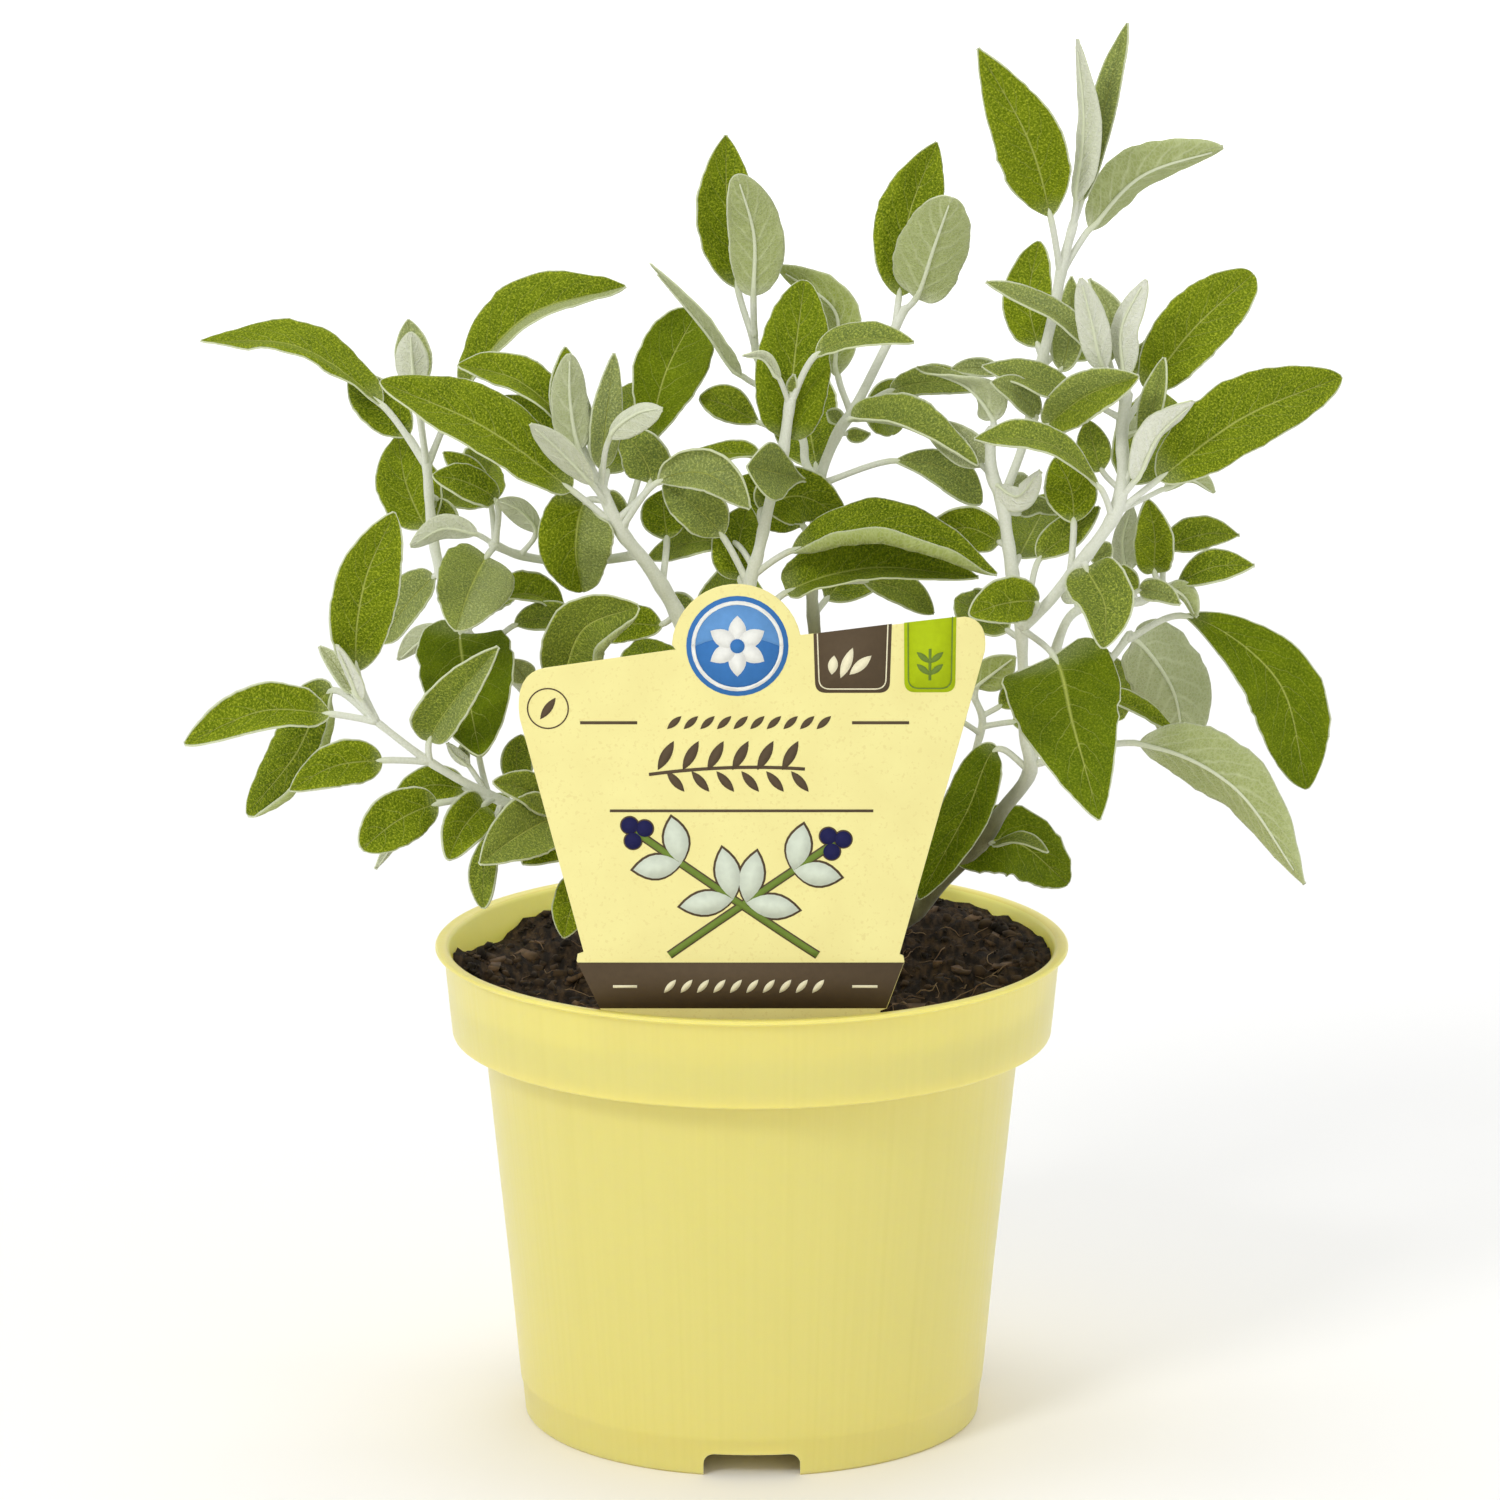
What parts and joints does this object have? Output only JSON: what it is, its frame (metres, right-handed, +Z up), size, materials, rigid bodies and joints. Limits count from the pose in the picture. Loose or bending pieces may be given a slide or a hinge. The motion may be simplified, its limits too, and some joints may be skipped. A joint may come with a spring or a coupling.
{
  "type": "potted peruvian sage",
  "caption": "Bushy Peruvian sage with felted grey-green leaves, in a round tapered nursery pot of pale yellow plastic with compost and a flat plant tag.",
  "frame": {"origin": "on the resting surface, under the middle of the pot", "axes": "+Z up along the pot's axis, -Y towards the front that the tag faces, +X to the right as seen from the front"},
  "size_m": [0.2154, 0.12, 0.2643],
  "materials": {
    "pot_plastic": "satin",
    "compost": "matte",
    "tag_card": "matte",
    "foliage": "matte"
  },
  "bodies": {
    "root": {"pot": "pot_plastic", "soil": "compost", "plant_tag": "tag_card", "low_left_stem": "foliage", "upper_left_stem": "foliage", "pale_stem": "foliage", "middle_stem": "foliage", "back_stem": "foliage", "thin_stem": "foliage", "woody_stem": "foliage"}
  },
  "joints": []
}
